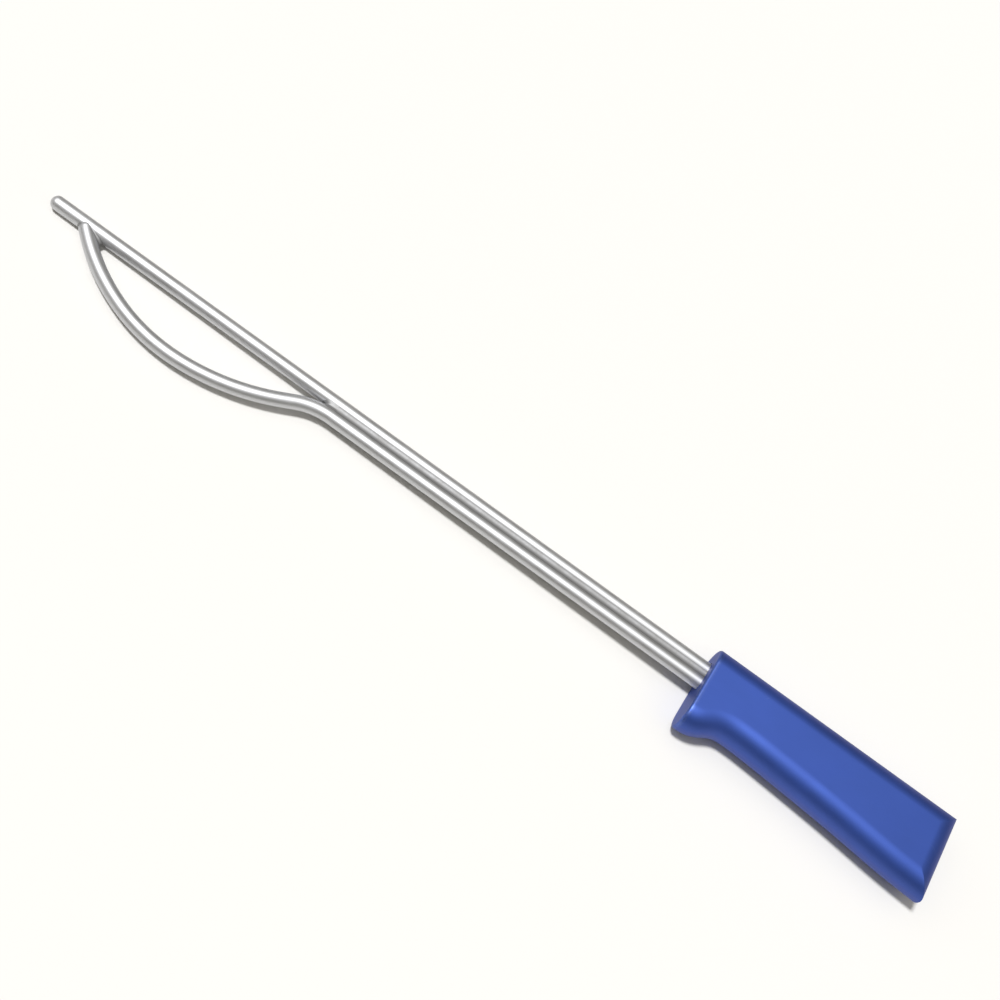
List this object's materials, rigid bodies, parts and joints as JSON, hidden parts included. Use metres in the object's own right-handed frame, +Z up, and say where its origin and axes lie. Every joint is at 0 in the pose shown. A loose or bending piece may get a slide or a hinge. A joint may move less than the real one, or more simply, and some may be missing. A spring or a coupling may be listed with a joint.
{
  "type": "surgical dissector",
  "caption": "Long rigid surgical dissector: straight steel rod with a blunt tip, a second rod bowed out as a flat loop beside it, and a flat-sided anodised aluminium handle.",
  "frame": {"origin": "middle of the bottom of the bounding box, in the plane of the handle's lower flat side", "axes": "+X along the straight rod from its blunt tip (-X end) to the butt of the handle (+X end); +Y away from the bowed rod, towards the handle's straight top line; +Z up out of the flat side, the plane of both rods is at z = 7.5 mm"},
  "size_m": [0.3552, 0.031, 0.015],
  "materials": {
    "blue_anodised_aluminium": "satin",
    "satin_stainless_steel": "satin",
    "braze_metal": "satin",
    "bond_compound": "matt",
    "screw_steel": "plain"
  },
  "bodies": {
    "root": {"handle": "blue_anodised_aluminium", "straight_rod": "satin_stainless_steel", "bowed_rod": "satin_stainless_steel", "seam_braze_upper": "braze_metal", "seam_braze_lower": "braze_metal", "loop_crotch_braze": "braze_metal", "tip_weld": "braze_metal", "socket_bond": "bond_compound", "set_screws": "screw_steel"}
  },
  "joints": []
}
